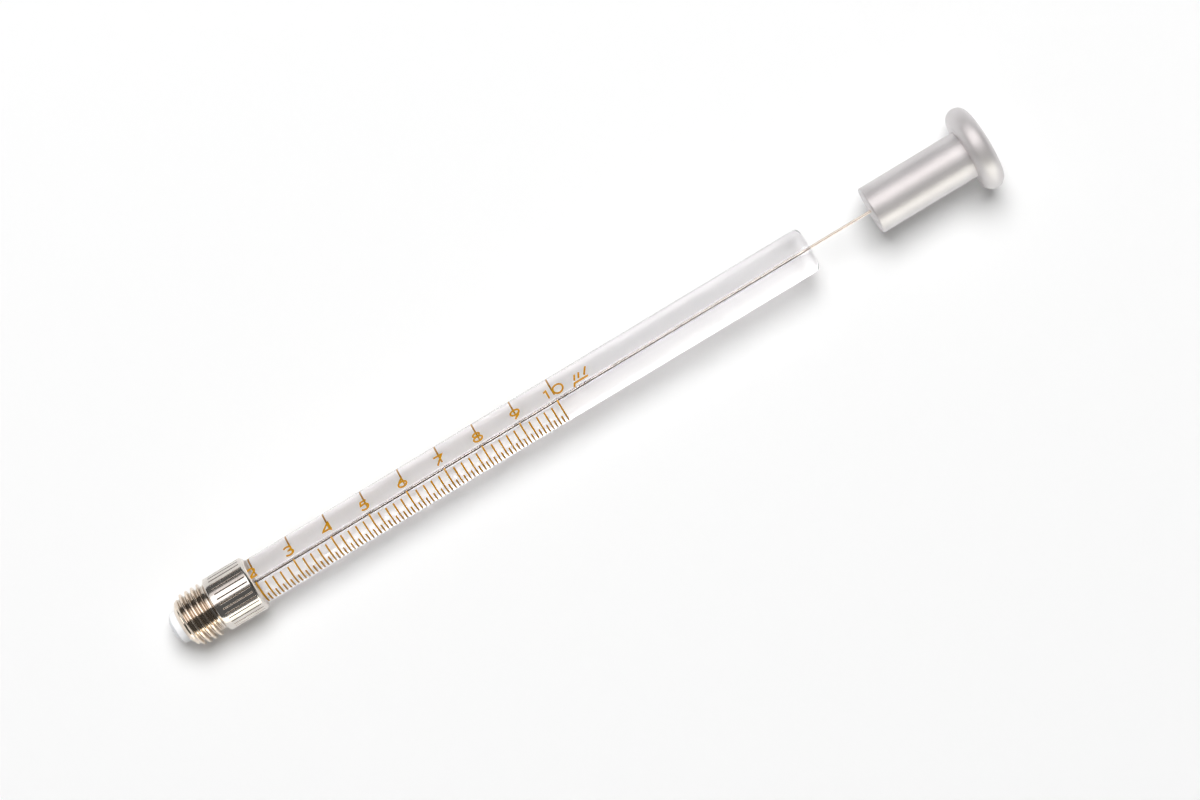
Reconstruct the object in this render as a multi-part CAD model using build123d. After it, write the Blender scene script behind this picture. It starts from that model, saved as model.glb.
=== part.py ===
from build123d import *
import math
import os

# Ten microlitre gas-tight syringe with a fixed glass barrel, a threaded and fluted metal end
# fitting for a screw-on needle, and a wire plunger with a turned thumb button.
#
# Millimetres. The axis of the syringe is +X: the sealing face for the needle is at X = 0 and the
# thumb button is at the far end. +Z is up. The plunger is drawn at PLUNGER_AT on the scale.

# Scale and bore
MICROLITRE_LENGTH = 6.0      # travel of the plunger for one microlitre; it sets the bore
PLUNGER_AT = 1.6             # microlitres left in front of the plunger as drawn

# Needle seal, the white nose in front of the fitting
SEAL_D = 4.6
SEAL_NOSE_L = 1.4            # the zero of the scale and the end of the bore lie behind it
SEAL_FACE_D = 2.75
SEAL_CHAMFER_L = 0.5
SEAL_HOLE_D = 0.5
SEAL_SKIRT_L = 1.2
SEAL_SKIRT_WALL = 0.4

# End fitting, one turned piece
FRONT_LAND = 0.15            # width of the flat ring round the seal
FRONT_CONE_L = 0.6
PILOT_L = 0.6                # plain nose in front of the thread
THREAD_D = 7.85              # outside of the thread, drawn as a plain cylinder
THREAD_PITCH = 25.4 / 28
THREAD_L = 3.4
THREAD_LEAD_L = 0.35
THREAD_END_L = 0.17
RELIEF_L = 0.5
SLEEVE_WALL = 0.6
SLEEVE_L = 6.45
SLEEVE_FLOOR_T = 1.0
FRONT_CHAMFER_L = 0.45
FRONT_CHAMFER_H = 0.55
REAR_CHAMFER = 0.28
FLUTES = 32
FLUTE_DEPTH = 0.14
FLUTE_WIDTH = 0.3
FLUTE_START_L = 1.2          # plain ring in front of the flutes, chamfer included
FLUTE_END_L = 0.45           # plain ring behind them

# Glass barrel
BARREL_D = 6.6
BARREL_L = 100.3
NECK_CLEARANCE = 0.05        # on the radius, ground neck in the threaded end
NECK_SHOULDER_L = 0.4
RIM_R = 0.8                  # fire-polished open end
MOUTH_D = 1.2
MOUTH_L = 1.6

# Cement between the barrel and the fitting
CEMENT_T = 0.15
CEMENT_LIP_L = 0.15
CEMENT_LIP_T = 0.22

# Plunger
WIRE_CLEARANCE = 0.02        # on the radius, wire in the bore
TIP_CLEARANCE = 0.01         # on the radius, soft tip in the bore
TIP_L = 2.0
TIP_WALL = 0.1
TIP_SPIGOT_L = 1.5
BUTTON_GAP_AT_ZERO = 0.3     # left between the glass and the button at zero
STEM_D = 7.0
STEM_L = 15.0
STEM_EDGE = 0.12
FLANGE_D = 12.5
FLANGE_RIM_R = 1.6
FACE_CROWN_R = 26.0
WIRE_HOLE_L = 9.0

# Places along the axis, from the sealing face
skirt_end_x = SEAL_NOSE_L + SEAL_SKIRT_L
pilot_x = SEAL_NOSE_L + FRONT_CONE_L
thread_x = pilot_x + PILOT_L
thread_end_x = thread_x + THREAD_L
sleeve_x = thread_end_x + RELIEF_L
sleeve_end_x = sleeve_x + SLEEVE_L
neck_end_x = sleeve_x + SLEEVE_FLOOR_T
body_start_x = neck_end_x + NECK_SHOULDER_L
barrel_end_x = SEAL_NOSE_L + BARREL_L
mouth_x = barrel_end_x - MOUTH_L
plunger_travel = PLUNGER_AT * MICROLITRE_LENGTH
plunger_tip_x = SEAL_NOSE_L + plunger_travel
tip_shoulder_x = plunger_tip_x + TIP_L
button_x = barrel_end_x + BUTTON_GAP_AT_ZERO + plunger_travel
flange_x = button_x + STEM_L
rim_x = flange_x + FLANGE_RIM_R

# Sizes across it
bore_d = 2 * math.sqrt(1 / (math.pi * MICROLITRE_LENGTH))
wire_d = bore_d - 2 * WIRE_CLEARANCE
tip_d = bore_d - 2 * TIP_CLEARANCE
spigot_d = tip_d - 2 * TIP_WALL
skirt_inner_d = SEAL_D - 2 * SEAL_SKIRT_WALL
neck_d = SEAL_D - 2 * NECK_CLEARANCE
socket_d = BARREL_D + 2 * CEMENT_T
sleeve_d = socket_d + 2 * SLEEVE_WALL
thread_root_d = THREAD_D - 2 * 0.6134 * THREAD_PITCH
rim_r = FLANGE_D / 2 - FLANGE_RIM_R

# Crowned face of the button, drawn tangent to the round rim
crown_angle = math.asin(rim_r / (FACE_CROWN_R - FLANGE_RIM_R))
crown_x = rim_x - rim_r / math.tan(crown_angle)
button_end_x = crown_x + FACE_CROWN_R


def turned(points):
    """Solid of revolution about the X axis from a closed outline of (x, radius) points."""
    outline = Polyline(*points, close=True)
    return revolve(make_face(outline), Axis.X, 360)


def circle_edges(solid, x, diameter):
    """Circular edges of a solid that lie at x on the axis and have the given diameter."""
    found = []
    for edge in solid.edges().filter_by(GeomType.CIRCLE):
        on_plane = abs(edge.arc_center.X - x) < 1e-4
        if on_plane and abs(edge.radius - diameter / 2) < 1e-4:
            found.append(edge)
    return found


def make_glass_barrel():
    """Thick capillary tube: ground nose and neck in front, fire-polished flared mouth behind."""
    outside = turned([
        (SEAL_NOSE_L, 0),
        (SEAL_NOSE_L, skirt_inner_d / 2),
        (skirt_end_x, skirt_inner_d / 2),
        (skirt_end_x, neck_d / 2),
        (neck_end_x, neck_d / 2),
        (body_start_x, BARREL_D / 2),
        (barrel_end_x, BARREL_D / 2),
        (barrel_end_x, 0),
    ])
    outside = fillet(circle_edges(outside, barrel_end_x, BARREL_D), RIM_R)

    bore_line = Line((SEAL_NOSE_L, bore_d / 2), (mouth_x, bore_d / 2))
    flare = TangentArc((mouth_x, bore_d / 2), (barrel_end_x, MOUTH_D / 2), tangent=(1, 0))
    closing = Polyline(
        (barrel_end_x, MOUTH_D / 2),
        (barrel_end_x, 0),
        (SEAL_NOSE_L, 0),
        (SEAL_NOSE_L, bore_d / 2),
    )
    bore = revolve(make_face([bore_line, flare, closing]), Axis.X, 360)
    return outside - bore


def make_flute_cutter():
    """Vee groove along the top of the sleeve whose bottom slopes out at both ends."""
    sleeve_r = sleeve_d / 2
    over = FLUTE_DEPTH
    start_x = sleeve_x + FLUTE_START_L
    end_x = sleeve_end_x - FLUTE_END_L
    vee = Plane.YZ.offset(start_x - over) * make_face(Polyline(
        (0, sleeve_r - FLUTE_DEPTH),
        (FLUTE_WIDTH, sleeve_r + FLUTE_DEPTH),
        (-FLUTE_WIDTH, sleeve_r + FLUTE_DEPTH),
        close=True,
    ))
    side = Plane.XZ * make_face(Polyline(
        (start_x - over, sleeve_r + over),
        (start_x + FLUTE_DEPTH, sleeve_r - FLUTE_DEPTH),
        (end_x - FLUTE_DEPTH, sleeve_r - FLUTE_DEPTH),
        (end_x + over, sleeve_r + over),
        close=True,
    ))
    groove = extrude(vee, end_x - start_x + 2 * over)
    return groove & extrude(side, FLUTE_WIDTH, both=True)


def make_end_fitting():
    """Turned fitting: nose, thread land, relief and fluted sleeve, bored in two steps."""
    outside = turned([
        (SEAL_NOSE_L, 0),
        (SEAL_NOSE_L, SEAL_D / 2 + FRONT_LAND),
        (pilot_x, thread_root_d / 2),
        (thread_x, thread_root_d / 2),
        (thread_x + THREAD_LEAD_L, THREAD_D / 2),
        (thread_end_x - THREAD_END_L, THREAD_D / 2),
        (thread_end_x, thread_root_d / 2),
        (sleeve_x, thread_root_d / 2),
        (sleeve_x, sleeve_d / 2 - FRONT_CHAMFER_H),
        (sleeve_x + FRONT_CHAMFER_L, sleeve_d / 2),
        (sleeve_end_x - REAR_CHAMFER, sleeve_d / 2),
        (sleeve_end_x, sleeve_d / 2 - REAR_CHAMFER),
        (sleeve_end_x, 0),
    ])
    bores = turned([
        (SEAL_NOSE_L, 0),
        (SEAL_NOSE_L, SEAL_D / 2),
        (neck_end_x, SEAL_D / 2),
        (neck_end_x, socket_d / 2),
        (sleeve_end_x, socket_d / 2),
        (sleeve_end_x, 0),
    ])
    flute = make_flute_cutter()
    flutes = [Rotation(360 / FLUTES * k, 0, 0) * flute for k in range(FLUTES)]
    return outside - bores - flutes


def make_needle_seal():
    """White nose that the needle is clamped against, with a skirt over the ground glass nose."""
    return turned([
        (0, SEAL_HOLE_D / 2),
        (0, SEAL_FACE_D / 2),
        (SEAL_CHAMFER_L, SEAL_D / 2),
        (skirt_end_x, SEAL_D / 2),
        (skirt_end_x, skirt_inner_d / 2),
        (SEAL_NOSE_L, skirt_inner_d / 2),
        (SEAL_NOSE_L, SEAL_HOLE_D / 2),
    ])


def make_barrel_cement():
    """Film of cement that holds the barrel in the sleeve, with a small lip where the glass leaves."""
    return turned([
        (body_start_x, BARREL_D / 2),
        (body_start_x, socket_d / 2),
        (sleeve_end_x, socket_d / 2),
        (sleeve_end_x, BARREL_D / 2 + CEMENT_LIP_T),
        (sleeve_end_x + CEMENT_LIP_L, BARREL_D / 2),
    ])


def make_plunger_wire():
    """Ground steel wire from the soft tip to the bottom of the hole in the button."""
    return turned([
        (tip_shoulder_x - TIP_SPIGOT_L, 0),
        (tip_shoulder_x - TIP_SPIGOT_L, spigot_d / 2),
        (tip_shoulder_x, spigot_d / 2),
        (tip_shoulder_x, wire_d / 2),
        (button_x + WIRE_HOLE_L, wire_d / 2),
        (button_x + WIRE_HOLE_L, 0),
    ])


def make_plunger_tip():
    """Soft tip pressed over the end of the wire; it wipes the bore."""
    return turned([
        (plunger_tip_x, 0),
        (plunger_tip_x, tip_d / 2),
        (tip_shoulder_x, tip_d / 2),
        (tip_shoulder_x, spigot_d / 2),
        (tip_shoulder_x - TIP_SPIGOT_L, spigot_d / 2),
        (tip_shoulder_x - TIP_SPIGOT_L, 0),
    ])


def make_plunger_button():
    """Turned button: plain stem, round-rimmed flange with a crowned face, blind hole for the wire."""
    stem_r = STEM_D / 2
    crown_end = (rim_x + FLANGE_RIM_R * math.cos(crown_angle), rim_r + FLANGE_RIM_R * math.sin(crown_angle))
    crown_middle = (
        crown_x + FACE_CROWN_R * math.cos(crown_angle / 2),
        FACE_CROWN_R * math.sin(crown_angle / 2),
    )
    outline = [
        Polyline(
            (button_x, 0),
            (button_x, stem_r - STEM_EDGE),
            (button_x + STEM_EDGE, stem_r),
            (flange_x, stem_r),
            (flange_x, rim_r),
        ),
        ThreePointArc((flange_x, rim_r), (rim_x, FLANGE_D / 2), crown_end),
        ThreePointArc(crown_end, crown_middle, (button_end_x, 0)),
        Line((button_end_x, 0), (button_x, 0)),
    ]
    button = revolve(make_face(outline), Axis.X, 360)
    hole = Location((button_x + WIRE_HOLE_L / 2, 0, 0), (0, 90, 0)) * Cylinder(wire_d / 2, WIRE_HOLE_L)
    return button - hole


pieces = {
    "glass_barrel": make_glass_barrel(),
    "end_fitting": make_end_fitting(),
    "needle_seal": make_needle_seal(),
    "barrel_cement": make_barrel_cement(),
    "plunger_wire": make_plunger_wire(),
    "plunger_tip": make_plunger_tip(),
    "plunger_button": make_plunger_button(),
}

os.makedirs("parts", exist_ok=True)
for name, solid in pieces.items():
    export_step(solid, "parts/" + name + ".step")
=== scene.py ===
import bmesh
import bpy
import math
from mathutils import Matrix, Vector


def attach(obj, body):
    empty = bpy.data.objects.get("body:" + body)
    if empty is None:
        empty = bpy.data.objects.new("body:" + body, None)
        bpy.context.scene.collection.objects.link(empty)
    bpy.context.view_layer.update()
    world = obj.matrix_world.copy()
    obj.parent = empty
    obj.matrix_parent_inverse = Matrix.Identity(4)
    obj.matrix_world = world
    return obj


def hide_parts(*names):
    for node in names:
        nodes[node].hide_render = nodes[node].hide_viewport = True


# Looks of a ten microlitre gas-tight syringe that lies on a pale table, seen from above.
# Its axis is X, from the needle end to the button. Its own sizes are in millimetres.
# The table's size and the places and sizes of the lamps are in metres.

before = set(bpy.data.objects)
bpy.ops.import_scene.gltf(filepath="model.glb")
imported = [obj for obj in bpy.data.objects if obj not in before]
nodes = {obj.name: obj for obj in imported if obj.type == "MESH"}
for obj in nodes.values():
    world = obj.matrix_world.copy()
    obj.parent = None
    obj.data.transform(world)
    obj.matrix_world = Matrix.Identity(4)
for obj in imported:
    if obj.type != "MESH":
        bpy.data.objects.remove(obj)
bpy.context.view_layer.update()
MM = 0.001

# Sizes shared with the solids: places along the axis (X), lengths (L) and radii (R)
SEAL_NOSE_L = 1.4
SEAL_R = 2.3
SKIRT_R = 1.9
SKIRT_END_X = 2.6
PILOT_X = 2.0
THREAD_X = 2.6
THREAD_END_X = 6.0
THREAD_R = 3.925
THREAD_PITCH = 25.4 / 28
# The depth of a unified thread is 0.6134 of its pitch
THREAD_ROOT_R = THREAD_R - 0.6134 * THREAD_PITCH
SLEEVE_X = 6.5
SLEEVE_END_X = 12.95
SLEEVE_R = 4.05
SOCKET_R = 3.45
NECK_R = 2.25
NECK_END_X = 7.5
BODY_X = 7.9
BARREL_R = 3.3
BARREL_END_X = 101.7
RIM_R = 0.8
MOUTH_X = 100.1
MOUTH_R = 0.6
MICROLITRE_L = 6.0
BORE_R = math.sqrt(1 / (math.pi * MICROLITRE_L))
FLANGE_X = 128.2
FLANGE_R = 6.25
FLUTES = 32


# Meshes
def smooth(edge0, edge1, v):
    """Soft step from 0 at edge0 to 1 at edge1."""
    t = min(1.0, max(0.0, (v - edge0) / (edge1 - edge0)))
    return t * t * (3 - 2 * t)


def arc_points(cx, cy, rx, ry, start_deg, end_deg, count):
    """Points on an ellipse round (cx, cy), both ends included."""
    points = []
    for k in range(count + 1):
        a = math.radians(start_deg + (end_deg - start_deg) * k / count)
        points.append((cx + rx * math.cos(a), cy + ry * math.sin(a)))
    return points


def finish_mesh(name, verts, faces, sharp_deg=40):
    """Object from vertices in millimetres, smooth apart from edges sharper than sharp_deg."""
    mesh = bpy.data.meshes.new(name)
    mesh.from_pydata([(x * MM, y * MM, z * MM) for x, y, z in verts], [], faces)
    mesh.validate()
    shell = bmesh.new()
    shell.from_mesh(mesh)
    bmesh.ops.recalc_face_normals(shell, faces=shell.faces)
    shell.to_mesh(mesh)
    shell.free()
    obj = bpy.data.objects.new(name, mesh)
    bpy.context.scene.collection.objects.link(obj)
    mesh.polygons.foreach_set("use_smooth", [True] * len(mesh.polygons))
    mesh.set_sharp_from_angle(angle=math.radians(sharp_deg))
    return obj


def lathe(name, outline, angles, radius=None, shade=None, sharp_deg=40):
    """Closed outline of (x, r) points turned round the X axis.

    radius(x, r, angle) may reshape a ring. shade(x, r, angle) is kept as a point attribute that a
    material reads for painted shade.
    """
    verts = []
    for x, r in outline:
        for a in angles:
            rr = radius(x, r, a) if radius else r
            verts.append((x, rr * math.cos(a), rr * math.sin(a)))
    faces = []
    count = len(outline)
    around = len(angles)
    for i in range(count):
        j = (i + 1) % count
        for k in range(around):
            m = (k + 1) % around
            faces.append((i * around + k, j * around + k, j * around + m, i * around + m))
    obj = finish_mesh(name, verts, faces, sharp_deg)
    if shade:
        values = obj.data.attributes.new("painted_groove_shade", "FLOAT", "POINT")
        values.data.foreach_set("value", [shade(x, r, a) for x, r in outline for a in angles])
    return obj


# Glass barrel
BARREL_FACETS = 256
RIM_STEPS = 12
FLARE_STEPS = 10
END_RING_R = MOUTH_R + 0.4
RINGS_X = range(10, 100, 6)


def barrel_outline():
    """Outline of the capillary tube, the outside first and then back along the bore."""
    points = [
        (SEAL_NOSE_L, SKIRT_R),
        (SKIRT_END_X, SKIRT_R),
        (SKIRT_END_X, NECK_R),
        (NECK_END_X, NECK_R),
        (BODY_X, BARREL_R),
    ]
    points += [(float(x), BARREL_R) for x in RINGS_X]
    points += arc_points(BARREL_END_X - RIM_R, BARREL_R - RIM_R, RIM_R, RIM_R, 90, 0, RIM_STEPS)
    points.append((BARREL_END_X, END_RING_R))
    # The bore opens to its mouth along an arc that is tangent to it
    flare_l = BARREL_END_X - MOUTH_X
    flare_h = MOUTH_R - BORE_R
    flare_r = (flare_l ** 2 + flare_h ** 2) / (2 * flare_h)
    for k in range(FLARE_STEPS, -1, -1):
        x = MOUTH_X + flare_l * k / FLARE_STEPS
        points.append((x, BORE_R + flare_r - math.sqrt(flare_r ** 2 - (x - MOUTH_X) ** 2)))
    points += [(float(x), BORE_R) for x in reversed(RINGS_X)]
    points.append((SEAL_NOSE_L, BORE_R))
    return points


def barrel_angles():
    return [2 * math.pi * k / BARREL_FACETS for k in range(BARREL_FACETS)]


barrel = lathe("barrel_tube", barrel_outline(), barrel_angles())


# Thread of the end fitting
THREAD_RINGS_X = PILOT_X + 0.1
RELIEF_END_X = SLEEVE_X - 0.15
CREST_X = 3.13
CREST_HALF = 0.08
ROOT_START = 0.42
RUN_IN_END_X = THREAD_X + 0.4
RUN_OUT_HALF = 0.12
THREAD_SHADE = 0.45


def is_threaded(x, r):
    """True on the outside of the fitting between its front cone and the sleeve."""
    return THREAD_RINGS_X <= x < RELIEF_END_X and r > SEAL_R


def run_in(x):
    """The thread rises out of the front cone, 0 to 1."""
    return smooth(PILOT_X, RUN_IN_END_X, x)


def thread_height(x, a):
    """Height of the right-hand thread above its root, 0 to 1, at angle a from +Y to +Z.

    CREST_X is a crest on the +Y side. A flank goes from CREST_HALF to ROOT_START, in pitches.
    """
    phase = ((x - CREST_X) / THREAD_PITCH - a / (2 * math.pi)) % 1.0
    flank = 1 - smooth(CREST_HALF, ROOT_START, min(phase, 1 - phase))
    run_out = 1 - smooth(THREAD_END_X - RUN_OUT_HALF, THREAD_END_X + RUN_OUT_HALF, x)
    return flank * run_in(x) * run_out


# Flutes of the end fitting
FLUTE_DEPTH = 0.05
FLUTE_HALF = 0.09
FLUTE_X = SLEEVE_X + 1.2
FLUTE_END_X = SLEEVE_END_X - 0.45
FLUTE_START = math.pi / 2 + math.radians(2.5)
FLUTE_SHADE = 2.5


def flute_depth(x, a):
    """Depth of the nearest flute as a share of FLUTE_DEPTH. Its bottom and ends are round."""
    turn = (a - FLUTE_START) / (2 * math.pi) * FLUTES
    across = abs((turn + 0.5) % 1.0 - 0.5) * 2 * math.pi * SLEEVE_R / FLUTES
    past_end = max(0.0, (FLUTE_X + FLUTE_HALF) - x, x - (FLUTE_END_X - FLUTE_HALF))
    return 1 - min(1.0, math.hypot(across, past_end) / FLUTE_HALF) ** 2


# End fitting
THREAD_STEP = 0.045
END_STEP = 0.03
MIDDLE_STEP = 0.35
MIDDLE_START_X = FLUTE_X + 0.5
MIDDLE_END_X = FLUTE_END_X - 0.7
FACE_W = 0.15
CHAMFER_L = 0.50
CHAMFER_H = 0.60
REAR_EDGE = 0.29
SOFT = 0.03


def fitting_radius(x, r, a):
    if is_threaded(x, r):
        return THREAD_ROOT_R + (THREAD_R - THREAD_ROOT_R) * thread_height(x, a)
    if r >= SLEEVE_R:
        return r - FLUTE_DEPTH * flute_depth(x, a)
    return r


def fitting_recess(x, r, a):
    """How deep a point lies in the thread or in a flute, for the painted shade that darkens these
    grooves.
    """
    if is_threaded(x, r):
        return THREAD_SHADE * (1 - thread_height(x, a)) * run_in(x)
    if r >= SLEEVE_R:
        return min(1.0, FLUTE_SHADE * flute_depth(x, a))
    return 0.0


def fitting_outline():
    """Outside of the fitting from front to rear, and then its socket from rear to front."""
    points = [
        (SEAL_NOSE_L, SEAL_R),
        (SEAL_NOSE_L, SEAL_R + FACE_W - 0.04),
        (SEAL_NOSE_L + 0.02, SEAL_R + FACE_W),
        (PILOT_X - SOFT, THREAD_ROOT_R - 0.05),
        (PILOT_X + 0.02, THREAD_ROOT_R),
    ]
    x = THREAD_RINGS_X
    while x < SLEEVE_X - 0.12:
        points.append((x, THREAD_ROOT_R))
        x += THREAD_STEP
    points += [
        (SLEEVE_X - 2 * SOFT, THREAD_ROOT_R),
        (SLEEVE_X, THREAD_ROOT_R + SOFT),
        (SLEEVE_X, SLEEVE_R - CHAMFER_H),
        (SLEEVE_X + SOFT, SLEEVE_R - CHAMFER_H + 2 * SOFT),
        (SLEEVE_X + CHAMFER_L - 0.08, SLEEVE_R - 0.04),
        (SLEEVE_X + CHAMFER_L, SLEEVE_R),
    ]
    # Rings stand close together where the flutes end
    x = FLUTE_X - 0.15
    while x < SLEEVE_END_X - 0.35:
        points.append((x, SLEEVE_R))
        x += MIDDLE_STEP if MIDDLE_START_X < x < MIDDLE_END_X else END_STEP
    points += [
        (SLEEVE_END_X - REAR_EDGE - 0.04, SLEEVE_R),
        (SLEEVE_END_X - REAR_EDGE + SOFT, SLEEVE_R - SOFT),
        (SLEEVE_END_X - SOFT, SLEEVE_R - REAR_EDGE + 0.04),
        (SLEEVE_END_X, SLEEVE_R - REAR_EDGE),
        (SLEEVE_END_X, SOCKET_R + SOFT),
        (SLEEVE_END_X - SOFT, SOCKET_R),
        (NECK_END_X, SOCKET_R),
        (NECK_END_X, SEAL_R),
        (SKIRT_END_X, SEAL_R),
    ]
    return points


def fitting_angles():
    """Angles round the fitting, close together across each flute and a little past its edges."""
    pitch = 2 * math.pi / FLUTES
    edge = FLUTE_HALF / SLEEVE_R
    shares = (-1.15, -1.0, -0.72, -0.4, 0.0, 0.4, 0.72, 1.0, 1.15)
    offsets = [edge * share for share in shares]
    plain = (pitch - (offsets[-1] - offsets[0])) / 4
    offsets += [offsets[-1] + plain * k for k in (1, 2, 3)]
    return [FLUTE_START + pitch * flute + off for flute in range(FLUTES) for off in offsets]


fitting = lathe(
    "threaded_fitting",
    fitting_outline(),
    fitting_angles(),
    radius=fitting_radius,
    shade=fitting_recess,
    sharp_deg=50,
)


# Fired ink, as ribbons that lie on the barrel and reach just into it
INK_OUT = BARREL_R + 0.010
INK_IN = BARREL_R - 0.004
STROKE_STEP = 0.25
LINE_STEP = 0.3
MITRE_MAX = 1.8


def degrees_arc(deg):
    return math.radians(deg) * BARREL_R


def on_barrel(x, arc, r):
    """Point at x, arc millimetres from the top of the barrel towards +Y, at radius r."""
    a = arc / BARREL_R
    return (x, r * math.sin(a), r * math.cos(a))


def add_section(verts, left, right):
    """Four corners of a ribbon's cross-section, between two (x, arc) points."""
    for point, r in ((left, INK_OUT), (right, INK_OUT), (right, INK_IN), (left, INK_IN)):
        verts.append(on_barrel(*point, r))


def add_sides(faces, here, there):
    """Four faces between two cross-sections, each given by the number of its first vertex."""
    for c in range(4):
        d = (c + 1) % 4
        faces.append((here + c, here + d, there + d, there + c))


def add_ends(faces, first, last):
    faces.append((first + 3, first + 2, first + 1, first))
    faces.append((last, last + 1, last + 2, last + 3))


def add_line(verts, faces, x, start_deg, end_deg):
    """Line of the scale, round the barrel at x."""
    start = degrees_arc(start_deg)
    end = degrees_arc(end_deg)
    steps = int(abs(end - start) / LINE_STEP) + 1
    first = len(verts)
    for k in range(steps + 1):
        arc = start + (end - start) * k / steps
        add_section(verts, (x - LINE_W / 2, arc), (x + LINE_W / 2, arc))
    for k in range(steps):
        add_sides(faces, first + 4 * k, first + 4 * (k + 1))
    add_ends(faces, first, first + 4 * steps)


def divide(path):
    """Points of a path with its long stretches divided, without its last point."""
    points = []
    for p, q in zip(path, path[1:]):
        steps = max(1, int(math.dist(p, q) / STROKE_STEP))
        for k in range(steps):
            t = k / steps
            points.append((p[0] + (q[0] - p[0]) * t, p[1] + (q[1] - p[1]) * t))
    return points


def direction(p, q):
    """Unit vector from p to q, of no length where they are one point."""
    return Vector((q[0] - p[0], q[1] - p[1])).normalized()


def add_stroke(verts, faces, path, width):
    """Ribbon of constant width along a path of (x, arc) points, with mitred corners."""
    closed = math.dist(path[0], path[-1]) < 1e-6
    points = divide(path)
    if not closed:
        points.append(path[-1])
    count = len(points)
    first = len(verts)
    for k, point in enumerate(points):
        before = points[k - 1] if closed or k > 0 else point
        after = points[(k + 1) % count] if closed or k < count - 1 else point
        arriving = direction(before, point)
        leaving = direction(point, after)
        along = (arriving + leaving).normalized()
        corner = max(along.dot(arriving), along.dot(leaving))
        half = width / 2 / max(corner, 1 / MITRE_MAX)
        across = (-along.y * half, along.x * half)
        left = (point[0] + across[0], point[1] + across[1])
        right = (point[0] - across[0], point[1] - across[1])
        add_section(verts, left, right)
    for k in range(count if closed else count - 1):
        add_sides(faces, first + 4 * k, first + 4 * ((k + 1) % count))
    if not closed:
        add_ends(faces, first, first + 4 * (count - 1))


# Scale, with a line every tenth of a microlitre
LINE_W = 0.25
LINE_FOOT_DEG = -76
WHOLE_TOP_DEG = -1.0
FIFTH_TOP_DEG = -9.5
TENTH_TOP_DEG = -41.0
BACK_LINE_DEG = (120, 174.5)


def scale_x(microlitres):
    return SEAL_NOSE_L + microlitres * MICROLITRE_L


def make_scale_lines():
    verts, faces = [], []
    for tenth in range(20, 101):
        if tenth % 10 == 0:
            top_deg = WHOLE_TOP_DEG
        elif tenth % 2 == 0:
            top_deg = FIFTH_TOP_DEG
        else:
            top_deg = TENTH_TOP_DEG
        add_line(verts, faces, scale_x(tenth / 10), LINE_FOOT_DEG, top_deg)
    # The whole lines go on round the back of the glass and show through it
    for whole in range(2, 11):
        add_line(verts, faces, scale_x(whole), *BACK_LINE_DEG)
    return finish_mesh("scale_lines", verts, faces)


# Figures, each in a square of one by one
FIGURES = {
    "0": [arc_points(0.5, 0.5, 0.5, 0.5, 90, 450, 24)],
    "1": [[(0.24, 0.88), (0.52, 0.98), (0.52, 0.0)]],
    "2": [arc_points(0.48, 0.70, 0.38, 0.28, 165, -35, 14) + [(0.08, 0.02), (0.92, 0.02)]],
    "3": [arc_points(0.44, 0.745, 0.38, 0.24, 150, -85, 12)
          + arc_points(0.46, 0.265, 0.44, 0.25, 85, -150, 14)],
    "4": [[(0.86, 0.0), (0.86, 1.0), (0.02, 0.24), (0.98, 0.24)]],
    "5": [[(0.90, 0.98), (0.30, 0.98), (0.20, 0.58)]
          + arc_points(0.48, 0.32, 0.42, 0.30, 118, -150, 16)],
    "6": [arc_points(0.50, 0.30, 0.42, 0.28, 0, 360, 22),
          [(0.70, 0.98), (0.42, 0.76), (0.20, 0.52), (0.09, 0.34)]],
    "7": [[(0.04, 0.98), (0.96, 0.98), (0.10, 0.0)]],
    "8": [arc_points(0.50, 0.76, 0.33, 0.22, 0, 360, 20),
          arc_points(0.50, 0.28, 0.44, 0.26, 0, 360, 22)],
    "9": [arc_points(0.50, 0.68, 0.44, 0.29, 0, 360, 22),
          [(0.92, 0.60), (0.70, 0.28), (0.24, 0.0)]],
}
FIGURE_W = 1.47
FIGURE_H = degrees_arc(22.5)
FIGURE_LOW = degrees_arc(12.0)
FIGURE_INK = 0.27
# The middle of each figure stands a little beyond its line, as it was printed.
# The two figures of 10 stand on either side of theirs.
FIGURE_SHIFT = {2: 0.12, 3: 0.02, 4: 0.02, 5: 0.02, 6: 0.05, 7: 0.06, 8: 0.07, 9: 0.17}
TEN_LEFT = {"1": -1.50, "0": 0.17}


def add_figure(verts, faces, sign, left_x):
    for path in FIGURES[sign]:
        placed = [(left_x + px * FIGURE_W, FIGURE_LOW + py * FIGURE_H) for px, py in path]
        add_stroke(verts, faces, placed, FIGURE_INK)


def make_scale_numbers():
    verts, faces = [], []
    for whole, shift in FIGURE_SHIFT.items():
        add_figure(verts, faces, str(whole), scale_x(whole) + shift - FIGURE_W / 2)
    for sign, left in TEN_LEFT.items():
        add_figure(verts, faces, sign, scale_x(10) + left)
    return finish_mesh("scale_numbers", verts, faces)


# Sign for the unit, three slanting strokes over a line with a tail
UNIT_X = 64.35
UNIT_INK = 0.28
UNIT_FOOT_DEG = 18.0
UNIT_SLASHES = ((0.45, 0.85, 32.0), (1.1, 1.5, 32.0), (2.0, 2.7, 37.0))
UNIT_UNDERLINE = ((2.45, 12.5), (0.3, 12.5), (0.0, 4.0))


def make_unit_mark():
    verts, faces = [], []
    for foot, head, head_deg in UNIT_SLASHES:
        slash = [
            (UNIT_X + foot, degrees_arc(UNIT_FOOT_DEG)),
            (UNIT_X + head, degrees_arc(head_deg)),
        ]
        add_stroke(verts, faces, slash, UNIT_INK)
    underline = [(UNIT_X + x, degrees_arc(deg)) for x, deg in UNIT_UNDERLINE]
    add_stroke(verts, faces, underline, UNIT_INK)
    return finish_mesh("unit_mark", verts, faces)


scale_lines = make_scale_lines()
scale_numbers = make_scale_numbers()
unit_mark = make_unit_mark()


# Nodes for the materials
def new_material(name):
    mat = bpy.data.materials.new(name)
    mat.use_nodes = True
    tree = mat.node_tree
    shader = tree.nodes["Principled BSDF"]
    return mat, tree, shader


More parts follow.
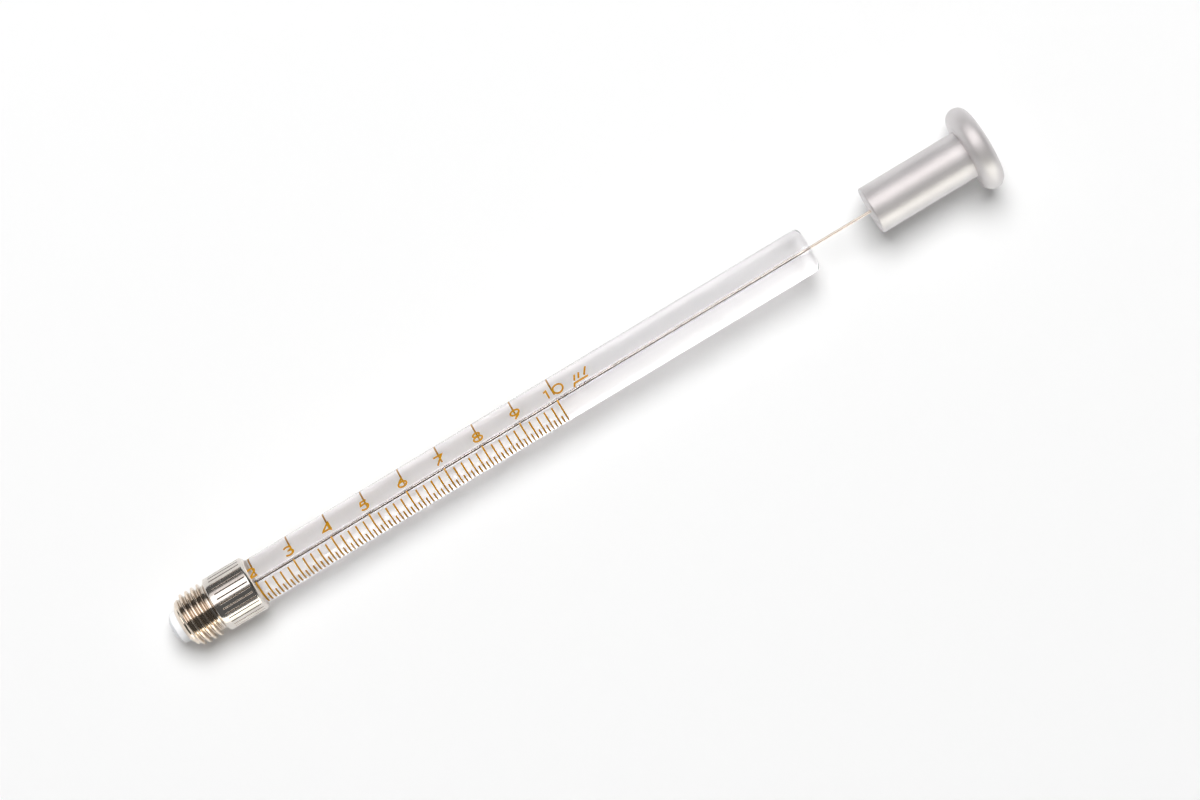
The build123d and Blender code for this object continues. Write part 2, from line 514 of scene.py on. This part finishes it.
def object_coords(tree, scale=(1, 1, 1)):
    coord = tree.nodes.new("ShaderNodeTexCoord")
    mapping = tree.nodes.new("ShaderNodeMapping")
    mapping.inputs["Scale"].default_value = scale
    tree.links.new(coord.outputs["Object"], mapping.inputs["Vector"])
    return mapping.outputs["Vector"]


def noise(tree, vector, scale, detail=3.0, roughness=0.5):
    node = tree.nodes.new("ShaderNodeTexNoise")
    node.inputs["Scale"].default_value = scale
    node.inputs["Detail"].default_value = detail
    node.inputs["Roughness"].default_value = roughness
    tree.links.new(vector, node.inputs["Vector"])
    return node.outputs["Fac"]


def ramp(tree, fac, low, high, from_low=0.3, from_high=0.7):
    """Colour that goes from low to high while fac goes from from_low to from_high."""
    node = tree.nodes.new("ShaderNodeValToRGB")
    stops = ((from_low, low), (from_high, high))
    for element, (place, colour) in zip(node.color_ramp.elements, stops):
        element.position = place
        element.color = (*colour, 1.0)
    tree.links.new(fac, node.inputs["Fac"])
    return node.outputs["Color"]


def span(tree, fac, low, high, from_low=0.3, from_high=0.7):
    """Number that goes from low to high while fac goes from from_low to from_high."""
    node = tree.nodes.new("ShaderNodeMapRange")
    node.inputs["From Min"].default_value = from_low
    node.inputs["From Max"].default_value = from_high
    node.inputs["To Min"].default_value = low
    node.inputs["To Max"].default_value = high
    tree.links.new(fac, node.inputs["Value"])
    return node.outputs["Result"]


def along_axis(tree, start_x, end_x):
    """0 before start_x and 1 after end_x, both in millimetres."""
    parts = tree.nodes.new("ShaderNodeSeparateXYZ")
    tree.links.new(object_coords(tree), parts.inputs["Vector"])
    return span(tree, parts.outputs["X"], 0.0, 1.0, start_x * MM, end_x * MM)


def mix(tree, fac, first, second):
    """Mix of two colours, by sockets; the second may be a plain colour."""
    node = tree.nodes.new("ShaderNodeMix")
    node.data_type = "RGBA"
    tree.links.new(fac, node.inputs["Factor"])
    tree.links.new(first, node.inputs["A"])
    if isinstance(second, tuple):
        node.inputs["B"].default_value = (*second, 1.0)
    else:
        tree.links.new(second, node.inputs["B"])
    return node.outputs["Result"]


def bump(tree, shader, height, strength, distance):
    node = tree.nodes.new("ShaderNodeBump")
    node.inputs["Strength"].default_value = strength
    node.inputs["Distance"].default_value = distance
    tree.links.new(height, node.inputs["Height"])
    tree.links.new(node.outputs["Normal"], shader.inputs["Normal"])


# Materials
def make_glass():
    mat, tree, shader = new_material("fired_glass")
    fine = noise(tree, object_coords(tree, (12, 500, 500)), 1.0, 2.0)
    colour = ramp(tree, fine, (0.985, 0.977, 0.988), (0.995, 0.987, 0.998), 0.35, 0.65)
    tree.links.new(colour, shader.inputs["Base Color"])
    tree.links.new(span(tree, fine, 0.0, 0.006), shader.inputs["Roughness"])
    shader.inputs["Transmission Weight"].default_value = 1.0
    shader.inputs["IOR"].default_value = 1.474
    bump(tree, shader, fine, 0.004, 0.00001)
    return mat


def make_nickel():
    mat, tree, shader = new_material("nickel_plate")
    shader.inputs["Metallic"].default_value = 1.0
    cloud = noise(tree, object_coords(tree), 500.0)
    # The plating on the thread is worn to a warmer tone
    worn = ramp(tree, cloud, (0.72, 0.62, 0.52), (0.86, 0.76, 0.65))
    fresh = ramp(tree, cloud, (0.62, 0.58, 0.54), (0.74, 0.70, 0.66))
    tone = mix(tree, along_axis(tree, SLEEVE_X - 0.4, SLEEVE_X), worn, fresh)
    # Painted shade: the thread roots and the flutes are darkened towards a dark brown, as if shade
    # gathered in the grooves.
    painted_groove_shade = tree.nodes.new("ShaderNodeAttribute")
    painted_groove_shade.attribute_name = "painted_groove_shade"
    groove_shaded = mix(tree, painted_groove_shade.outputs["Fac"], tone, (0.15, 0.11, 0.08))
    tree.links.new(groove_shaded, shader.inputs["Base Color"])
    fine = noise(tree, object_coords(tree, (9000, 600, 600)), 1.0, 2.0)
    tree.links.new(span(tree, fine, 0.10, 0.20), shader.inputs["Roughness"])
    bump(tree, shader, fine, 0.15, 0.000008)
    return mat


def make_aluminium():
    mat, tree, shader = new_material("satin_aluminium")
    shader.inputs["Metallic"].default_value = 0.82
    cloud = noise(tree, object_coords(tree), 180.0, 4.0)
    colour = ramp(tree, cloud, (0.65, 0.63, 0.635), (0.73, 0.71, 0.715))
    tree.links.new(colour, shader.inputs["Base Color"])
    fine = noise(tree, object_coords(tree), 5200.0, 3.0, 0.6)
    tree.links.new(span(tree, fine, 0.46, 0.55), shader.inputs["Roughness"])
    bump(tree, shader, fine, 0.35, 0.00002)
    return mat


def make_steel():
    mat, tree, shader = new_material("drawn_wire")
    shader.inputs["Metallic"].default_value = 1.0
    cloud = noise(tree, object_coords(tree, (7000, 5000, 5000)), 1.0)
    # The length inside the bore is darkened with painted shade, where the glass shows the wire dark
    bore_shaded = ramp(tree, cloud, (0.24, 0.22, 0.20), (0.34, 0.31, 0.28))
    outside_bore_tone = ramp(tree, cloud, (0.74, 0.64, 0.56), (0.94, 0.87, 0.80))
    tone = mix(tree, along_axis(tree, MOUTH_X - 1, BARREL_END_X), bore_shaded, outside_bore_tone)
    tree.links.new(tone, shader.inputs["Base Color"])
    tree.links.new(span(tree, cloud, 0.16, 0.26), shader.inputs["Roughness"])
    return mat


def make_ink():
    mat, tree, shader = new_material("amber_ink")
    cloud = noise(tree, object_coords(tree), 2600.0)
    colour = ramp(tree, cloud, (0.47, 0.21, 0.001), (0.62, 0.30, 0.002))
    tree.links.new(colour, shader.inputs["Base Color"])
    tree.links.new(span(tree, cloud, 0.30, 0.38), shader.inputs["Roughness"])
    shader.inputs["Specular IOR Level"].default_value = 0.12
    bump(tree, shader, cloud, 0.1, 0.000006)
    return mat


def make_polymer(name, low, high, rough, sss):
    """Pale plastic or cement between two colours, with its middle roughness and share of glow."""
    mat, tree, shader = new_material(name)
    cloud = noise(tree, object_coords(tree), 700.0)
    tree.links.new(ramp(tree, cloud, low, high), shader.inputs["Base Color"])
    fine = noise(tree, object_coords(tree, (5000, 700, 700)), 1.0, 2.0)
    tree.links.new(span(tree, fine, rough - 0.06, rough + 0.06), shader.inputs["Roughness"])
    shader.inputs["Subsurface Weight"].default_value = sss
    shader.inputs["Subsurface Radius"].default_value = (1.0, 0.95, 0.9)
    shader.inputs["Subsurface Scale"].default_value = 0.6 * MM
    bump(tree, shader, fine, 0.15, 0.00001)
    return mat


def dress(obj, mat):
    obj.data.materials.clear()
    obj.data.materials.append(mat)


white_seal = make_polymer(
    "white_seal", (0.88, 0.885, 0.91), (0.93, 0.935, 0.955), rough=0.34, sss=0.15)
soft_tip = make_polymer(
    "soft_tip", (0.84, 0.84, 0.83), (0.90, 0.90, 0.89), rough=0.40, sss=0.2)
cement = make_polymer(
    "cement_film", (0.84, 0.76, 0.70), (0.94, 0.88, 0.83), rough=0.45, sss=0.1)
ink = make_ink()

dress(barrel, make_glass())
dress(fitting, make_nickel())
dress(nodes["needle_seal"], white_seal)
dress(nodes["barrel_cement"], cement)
dress(nodes["plunger_tip"], soft_tip)
dress(nodes["plunger_wire"], make_steel())
dress(nodes["plunger_button"], make_aluminium())
for piece in (scale_lines, scale_numbers, unit_mark):
    dress(piece, ink)

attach(barrel, "barrel")
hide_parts("glass_barrel")
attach(fitting, "barrel")
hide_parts("end_fitting")
for piece in (scale_lines, scale_numbers, unit_mark):
    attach(piece, "barrel")


# Table and room. The table touches the front edge of the sleeve and the rim of the flange.
SLEEVE_EDGE_X = 6.95
TABLE_GAP = 0.01
TABLE_SLOPE = (FLANGE_R - SLEEVE_R) / (FLANGE_X - SLEEVE_EDGE_X)
TABLE_HALF = 2.0
MIDDLE_X = 66.0
# Light of its own that the table gives through the glass and in reflections
SEEN_THROUGH_GLASS = 0.14
SEEN_IN_METAL = 0.09
ROOM_GREY = (0.12, 0.12, 0.12)
ROOM_END_GREY = (0.085, 0.085, 0.085)


def table_backdrop(tree):
    """Seen directly, the table stays white far out, where the lamps no longer reach."""
    place = tree.nodes.new("ShaderNodeTexCoord")
    far = tree.nodes.new("ShaderNodeVectorMath")
    far.operation = "LENGTH"
    tree.links.new(place.outputs["Object"], far.inputs[0])
    return span(tree, far.outputs["Value"], 0.08, 0.9, 0.25, 1.3)


def multiply_add(tree, ray, factor, addend):
    """ray times factor plus addend. factor is a number or a socket, addend a socket or None."""
    node = tree.nodes.new("ShaderNodeMath")
    node.operation = "MULTIPLY_ADD"
    tree.links.new(ray, node.inputs[0])
    if isinstance(factor, float):
        node.inputs[1].default_value = factor
    else:
        tree.links.new(factor, node.inputs[1])
    node.inputs[2].default_value = 0.0
    if addend:
        tree.links.new(addend, node.inputs[2])
    return node.outputs["Value"]


def make_table_white():
    mat, tree, shader = new_material("table_white")
    shader.inputs["Base Color"].default_value = (0.94, 0.94, 0.94, 1)
    shader.inputs["Roughness"].default_value = 0.8
    shader.inputs["Specular IOR Level"].default_value = 0.1
    rays = tree.nodes.new("ShaderNodeLightPath").outputs
    glow = multiply_add(tree, rays["Is Camera Ray"], table_backdrop(tree), None)
    glow = multiply_add(tree, rays["Is Transmission Ray"], SEEN_THROUGH_GLASS, glow)
    glow = multiply_add(tree, rays["Is Glossy Ray"], SEEN_IN_METAL, glow)
    shader.inputs["Emission Color"].default_value = (1, 1, 1, 1)
    tree.links.new(glow, shader.inputs["Emission Strength"])
    return mat


def make_floor():
    square = ((-1, -1), (1, -1), (1, 1), (-1, 1))
    corners = [(x * TABLE_HALF, y * TABLE_HALF, 0) for x, y in square]
    mesh = bpy.data.meshes.new("table_top")
    mesh.from_pydata(corners, [], [(0, 1, 2, 3)])
    floor = bpy.data.objects.new("table_top", mesh)
    bpy.context.scene.collection.objects.link(floor)
    low = SLEEVE_R + TABLE_GAP + TABLE_SLOPE * (MIDDLE_X - SLEEVE_EDGE_X)
    floor.location = (MIDDLE_X * MM, 0, -low * MM)
    floor.rotation_euler = (0, math.atan(TABLE_SLOPE), 0)
    dress(floor, make_table_white())


def make_world():
    """Room that is darker beyond the two ends of the syringe than over it, and white if seen."""
    world = bpy.data.worlds.new("studio")
    bpy.context.scene.world = world
    world.use_nodes = True
    tree = world.node_tree
    direct = tree.nodes.new("ShaderNodeTexCoord")
    parts = tree.nodes.new("ShaderNodeSeparateXYZ")
    tree.links.new(direct.outputs["Generated"], parts.inputs["Vector"])
    endwise = tree.nodes.new("ShaderNodeMath")
    endwise.operation = "ABSOLUTE"
    tree.links.new(parts.outputs["X"], endwise.inputs[0])
    grey = ramp(tree, endwise.outputs["Value"], ROOM_GREY, ROOM_END_GREY, 0.35, 0.8)
    rays = tree.nodes.new("ShaderNodeLightPath").outputs
    colour = mix(tree, rays["Is Camera Ray"], grey, (1, 1, 1))
    background = tree.nodes["Background"]
    tree.links.new(colour, background.inputs["Color"])
    background.inputs["Strength"].default_value = 1


make_floor()
make_world()

# Lamps
MIDDLE = Vector((MIDDLE_X, 0, 0)) * MM
BOX_DISTANCE = 0.8
WARM = (1.0, 0.95, 0.935)
CREAM = (1.0, 0.985, 0.9)
KEY_R = 0.374
KEY_RADIANCE = 12.2
KEY_THROUGH_GLASS = 0.4
KEY_FROM = Vector((0.194, 0.404, 1.0)).normalized() * 1.15
FILL_R = 0.4
FILL_RADIANCE = 0.3
FILL_FROM = Vector((-0.76, -0.1, 0.64))


def add_lamp(name, shape, size, area, radiance, offset):
    """Area lamp of a given radiance, at an offset from the middle of the syringe."""
    data = bpy.data.lights.new(name, "AREA")
    data.shape = shape
    data.size = size
    data.energy = radiance * math.pi * area
    lamp = bpy.data.objects.new(name, data)
    bpy.context.scene.collection.objects.link(lamp)
    lamp.location = MIDDLE + offset
    return lamp


def add_box(name, tilt_deg, shift, length, width, radiance, colour):
    """Soft box along X, tilt_deg from straight up towards +Y, for reflections and the glass."""
    tilt = math.radians(tilt_deg)
    towards = Vector((0, math.sin(tilt), math.cos(tilt)))
    offset = Vector((shift, 0, 0)) + towards * BOX_DISTANCE
    lamp = add_lamp(name, "RECTANGLE", length, length * width, radiance, offset)
    lamp.data.size_y = width
    lamp.data.color = colour
    side = Vector((1, 0, 0))
    lamp.rotation_euler = Matrix((side, towards.cross(side), towards)).transposed().to_euler()
    lamp.visible_diffuse = False
    return lamp


def add_round(name, radius, radiance, offset):
    """Round lamp aimed at the syringe and not mirrored in its metal."""
    lamp = add_lamp(name, "DISK", 2 * radius, math.pi * radius ** 2, radiance, offset)
    lamp.rotation_euler = offset.to_track_quat("Z", "Y").to_euler()
    lamp.visible_glossy = False
    return lamp


add_box("soft_box", tilt_deg=22.7, shift=0.1, length=2.2, width=0.498, radiance=2.0, colour=WARM)
add_box("soft_box_edge", tilt_deg=46.8, shift=0.1, length=2.2, width=0.20, radiance=0.95, colour=WARM)
add_box("low_reflector", tilt_deg=-77, shift=0, length=1.8, width=0.42, radiance=1.65, colour=CREAM)
strip = add_box("low_strip", tilt_deg=-70, shift=0, length=1.8, width=0.12, radiance=2.6, colour=CREAM)
strip.visible_transmission = False

# The key lights the table and throws the soft shadow. Only a part of it passes the glass,
# so that the barrel throws a grey shadow.
add_round("key", KEY_R, KEY_THROUGH_GLASS * KEY_RADIANCE, KEY_FROM)
blocked = add_round("key_outside_glass", KEY_R, (1 - KEY_THROUGH_GLASS) * KEY_RADIANCE, KEY_FROM)
blocked.visible_transmission = False

# Weak lamp beyond the needle end; it lifts the white nose and the shadows
add_round("fill", FILL_R, FILL_RADIANCE, FILL_FROM)

# Camera, straight above
FRAME_PX = 1200
PX_PER_MM = 7.288
ROLL = math.radians(31.08)
SENSOR_MM = 36.0
LOOK_AT = Vector((66.41, -3.03, 0)) * MM
EYE = Vector((69.9, -3.4, 470.0)) * MM


def make_camera():
    data = bpy.data.cameras.new("camera")
    camera = bpy.data.objects.new("camera", data)
    bpy.context.scene.collection.objects.link(camera)
    back = (EYE - LOOK_AT).normalized()
    right = Vector((math.cos(ROLL), -math.sin(ROLL), 0))
    right = (right - back * right.dot(back)).normalized()
    turn = Matrix((right, back.cross(right), back)).transposed()
    camera.matrix_world = Matrix.Translation(EYE) @ turn.to_4x4()
    frame_width = FRAME_PX / PX_PER_MM * MM
    data.sensor_width = SENSOR_MM
    data.lens = SENSOR_MM * (EYE - LOOK_AT).length / frame_width
    data.clip_start = 0.01
    data.clip_end = 10.0
    bpy.context.scene.camera = camera


make_camera()
bpy.context.scene.view_settings.view_transform = "Standard"
